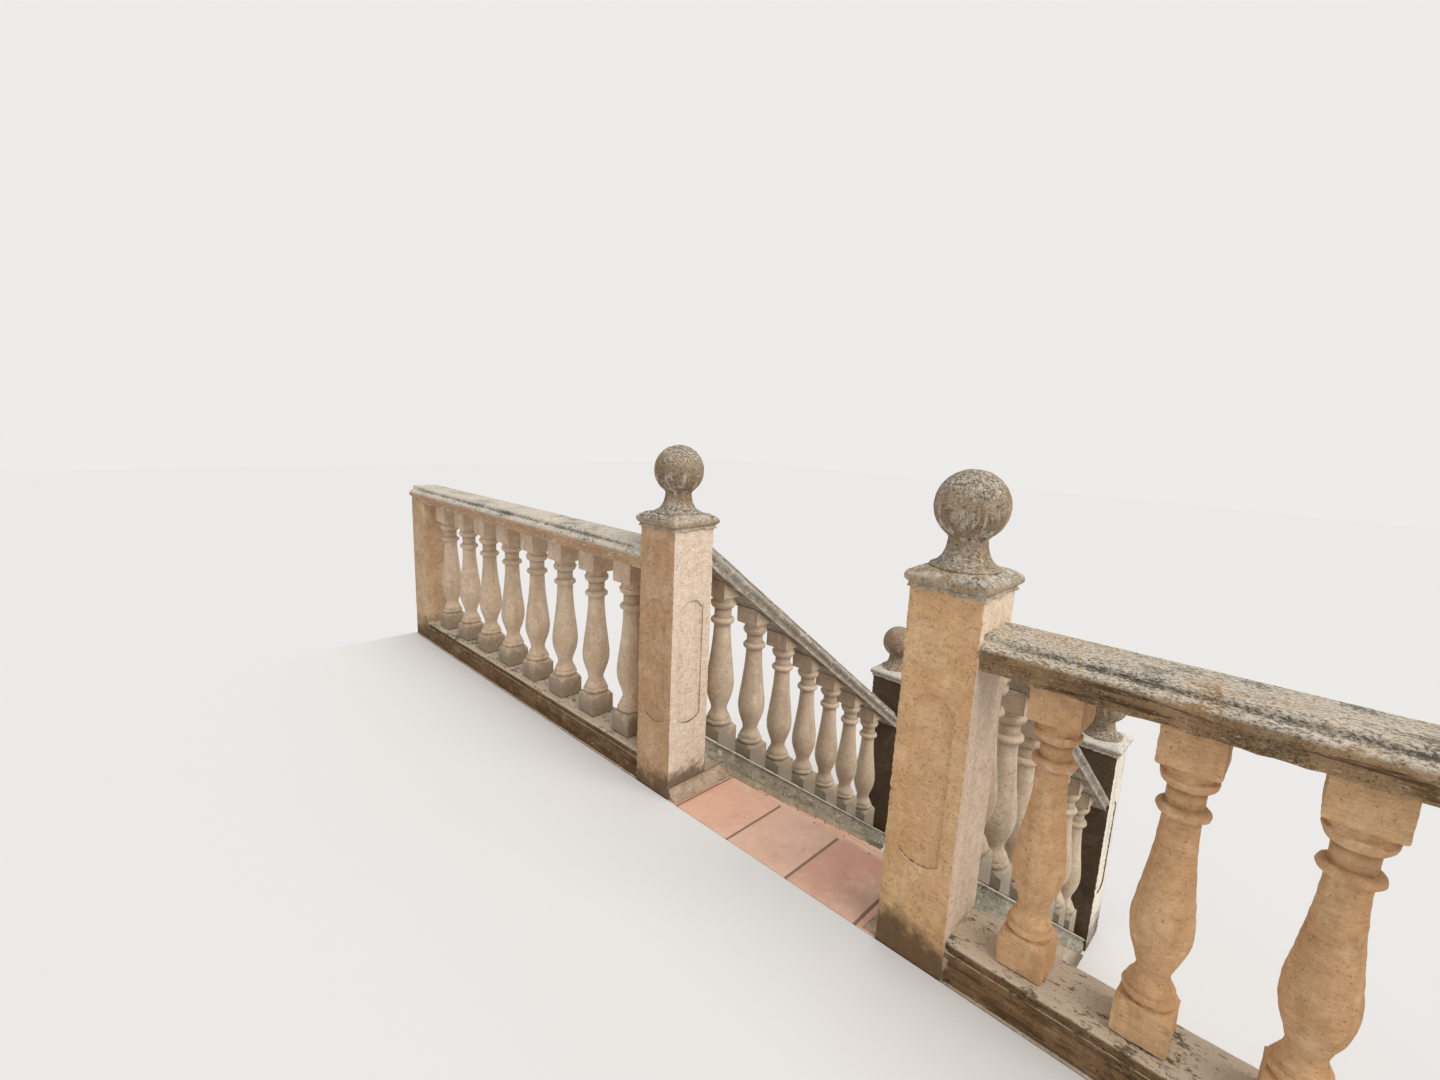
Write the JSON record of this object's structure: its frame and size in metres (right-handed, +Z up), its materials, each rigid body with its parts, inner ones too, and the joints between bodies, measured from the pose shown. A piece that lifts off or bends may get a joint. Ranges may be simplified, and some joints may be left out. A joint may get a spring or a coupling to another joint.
{
  "type": "stone balustrade with garden stair",
  "caption": "Stone balustrade on retaining walls, with turned balusters, moulded rails, ball-topped newels and a short straight stair.",
  "frame": {"origin": "ground level under the middle of the plan, halfway between the upper and the lower newels", "axes": "+X along the level runs, +Y down the stair towards the lower ground, +Z up"},
  "size_m": [6.074, 2.075, 2.465],
  "materials": {
    "newel_stone": "weathered cast stone, pitted, warm tan to ochre",
    "cap_stone": "weathered cast stone, grey-brown with pale edges",
    "ball_stone": "weathered cast stone with lichen speckle",
    "pier_stone": "weathered cast stone",
    "handrail_stone": "weathered cast stone, pale top with black lichen",
    "base_rail_stone": "mossy weathered cast stone",
    "baluster_stone": "pinkish cream cast stone, fine pits",
    "baluster_stone_ochre": "ochre cast stone, coarser pits",
    "wall_render": "weathered lime render over masonry",
    "tread_tile": "terracotta tiles with grey joints"
  },
  "bodies": {
    "root": {"terrace_wall_left": "wall_render", "terrace_wall_right": "wall_render", "stair_wall_left": "wall_render", "stair_wall_right": "wall_render", "stair_core": "wall_render", "landing": "tread_tile", "tread_1": "tread_tile", "tread_2": "tread_tile", "tread_3": "tread_tile", "tread_4": "tread_tile", "tread_5": "tread_tile", "newel_upper_left": "newel_stone", "newel_upper_right": "newel_stone", "newel_lower_left": "newel_stone", "newel_lower_right": "newel_stone", "cap_upper_left": "cap_stone", "cap_upper_right": "cap_stone", "cap_lower_left": "cap_stone", "cap_lower_right": "cap_stone", "ball_upper_left": "ball_stone", "ball_upper_right": "ball_stone", "ball_lower_left": "ball_stone", "ball_lower_right": "ball_stone", "end_pier_left": "pier_stone", "end_pier_right": "pier_stone", "base_rail_left": "base_rail_stone", "base_rail_right": "base_rail_stone", "handrail_left": "handrail_stone", "handrail_right": "handrail_stone", "balusters_left": "baluster_stone", "balusters_right": "baluster_stone_ochre", "raked_base_rail_left": "base_rail_stone", "raked_base_rail_right": "base_rail_stone", "raked_handrail_left": "handrail_stone", "raked_handrail_right": "handrail_stone", "raked_balusters_left": "baluster_stone", "raked_balusters_right": "baluster_stone"}
  },
  "joints": []
}
